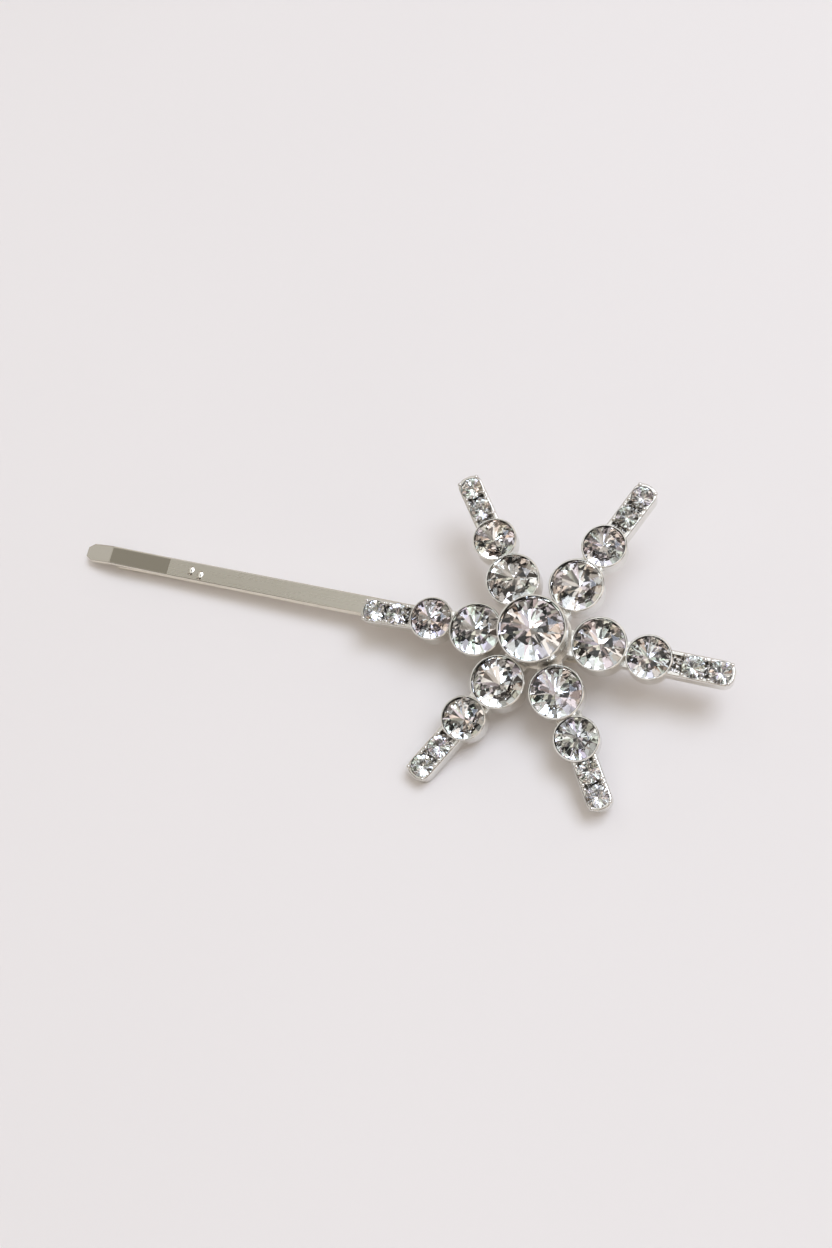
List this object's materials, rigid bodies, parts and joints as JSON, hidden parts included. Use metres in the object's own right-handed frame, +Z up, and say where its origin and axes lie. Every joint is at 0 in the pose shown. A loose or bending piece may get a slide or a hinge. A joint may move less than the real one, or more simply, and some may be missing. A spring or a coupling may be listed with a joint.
{
  "type": "rhinestone hair clip",
  "caption": "Sprung flat-wire hair pin carrying a six-rayed star of round cups and bars set with clear faceted glass stones.",
  "frame": {"origin": "on the table, under the middle of the clip's bounding box, with the clip lying at rest on its bend, on its lower leg's tip and on the tip of one front ray", "axes": "+X along the clip, from the pin's free tips towards the star; +Y away from the side the clip is rolled towards; +Z up. The star's own face is rolled 12.9 degrees towards -Y and pitched 2.35 degrees"},
  "size_m": [0.0698, 0.0322, 0.0097],
  "materials": {
    "plated_steel": "bright nickel-toned plating on flat spring-steel wire, faint lengthwise drawing lines",
    "plated_casting": "polished silver-toned plating on cast settings",
    "glass_stone": "clear faceted glass with a foiled back"
  },
  "bodies": {
    "lower": {"lower_leg": "plated_steel"},
    "upper": {"upper_leg": "plated_steel", "hub_plate": "plated_casting", "centre_cup": "plated_casting", "ray_1": "plated_casting", "ray_2": "plated_casting", "ray_3": "plated_casting", "ray_4": "plated_casting", "ray_5": "plated_casting", "ray_6": "plated_casting", "centre_stone": "glass_stone", "inner_stone_1": "glass_stone", "outer_stone_1": "glass_stone", "near_tip_stone_1": "glass_stone", "far_tip_stone_1": "glass_stone", "inner_stone_2": "glass_stone", "outer_stone_2": "glass_stone", "near_tip_stone_2": "glass_stone", "far_tip_stone_2": "glass_stone", "inner_stone_3": "glass_stone", "outer_stone_3": "glass_stone", "near_tip_stone_3": "glass_stone", "far_tip_stone_3": "glass_stone", "inner_stone_4": "glass_stone", "outer_stone_4": "glass_stone", "near_tip_stone_4": "glass_stone", "far_tip_stone_4": "glass_stone", "inner_stone_5": "glass_stone", "outer_stone_5": "glass_stone", "near_tip_stone_5": "glass_stone", "far_tip_stone_5": "glass_stone", "inner_stone_6": "glass_stone", "outer_stone_6": "glass_stone", "near_tip_stone_6": "glass_stone", "far_tip_stone_6": "glass_stone"}
  },
  "joints": [
    {"name": "bend_spring", "type": "hinge", "parent": "lower", "child": "upper", "pos_m": [0.01819, 0.00063, 0.00051], "axis": [0, 0.9746, 0.2238], "range_deg": [0, 12], "stiffness_Nm_per_rad": 0.08, "springref_deg": -5.73}
  ]
}
